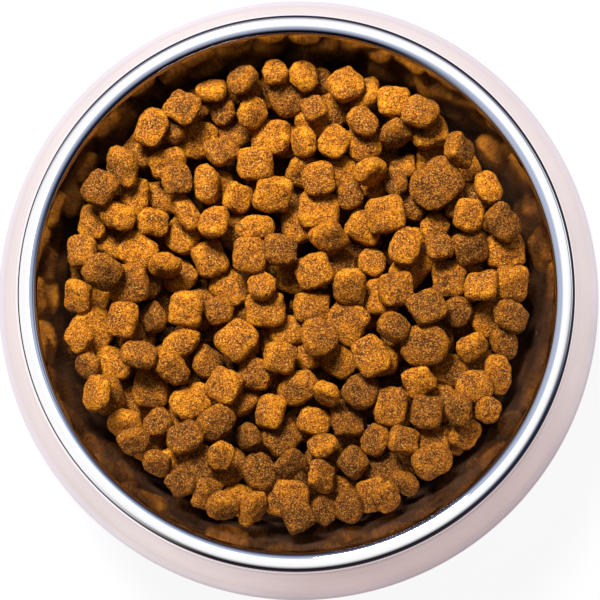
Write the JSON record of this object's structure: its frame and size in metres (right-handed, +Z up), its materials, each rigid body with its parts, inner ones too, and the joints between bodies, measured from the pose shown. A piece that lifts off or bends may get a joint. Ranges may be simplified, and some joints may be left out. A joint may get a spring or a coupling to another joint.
{
  "type": "filled pet food bowl",
  "caption": "Round steel pet bowl with a mirror-bright pressed inside, a rolled rim, a flared satin skirt on a hidden rubber ring, and a loose heap of puffed dry kibble in it.",
  "frame": {"origin": "on the bowl's axis, in the plane that the base ring stands on", "axes": "+Z up along the bowl's axis; the bowl is round, and the kibble is laid as it is seen with +Y towards the far side"},
  "size_m": [0.1992, 0.1992, 0.0549],
  "materials": {
    "bowl_steel": "mirror-polished stainless steel",
    "skirt_steel": "satin stainless steel, spun, with faint rings",
    "ring_rubber": "matt moulded rubber",
    "kibble": "dry baked crust, rough and grainy, ochre with darker brown mottling"
  },
  "bodies": {
    "root": {"bowl": "bowl_steel", "skirt": "skirt_steel", "base_ring": "ring_rubber", "kibble_bed": "kibble", "kibble_01": "kibble", "kibble_02": "kibble", "kibble_03": "kibble", "kibble_04": "kibble", "kibble_05": "kibble", "kibble_06": "kibble", "kibble_07": "kibble", "kibble_08": "kibble", "kibble_09": "kibble", "kibble_10": "kibble", "kibble_11": "kibble", "kibble_12": "kibble", "kibble_13": "kibble", "kibble_14": "kibble", "kibble_15": "kibble", "kibble_16": "kibble", "kibble_17": "kibble", "kibble_18": "kibble", "kibble_19": "kibble", "kibble_20": "kibble", "kibble_21": "kibble", "kibble_22": "kibble", "kibble_23": "kibble", "kibble_24": "kibble", "kibble_25": "kibble", "kibble_26": "kibble", "kibble_27": "kibble", "kibble_28": "kibble", "kibble_29": "kibble", "kibble_30": "kibble", "kibble_31": "kibble", "kibble_32": "kibble", "kibble_33": "kibble", "kibble_34": "kibble", "kibble_35": "kibble", "kibble_36": "kibble", "kibble_37": "kibble", "kibble_38": "kibble", "kibble_39": "kibble", "kibble_40": "kibble", "kibble_41": "kibble", "kibble_42": "kibble", "kibble_43": "kibble", "kibble_44": "kibble", "kibble_45": "kibble", "kibble_46": "kibble", "kibble_47": "kibble", "kibble_48": "kibble", "kibble_49": "kibble", "kibble_50": "kibble", "kibble_51": "kibble", "kibble_52": "kibble", "kibble_53": "kibble", "kibble_54": "kibble", "kibble_55": "kibble"}
  },
  "joints": []
}
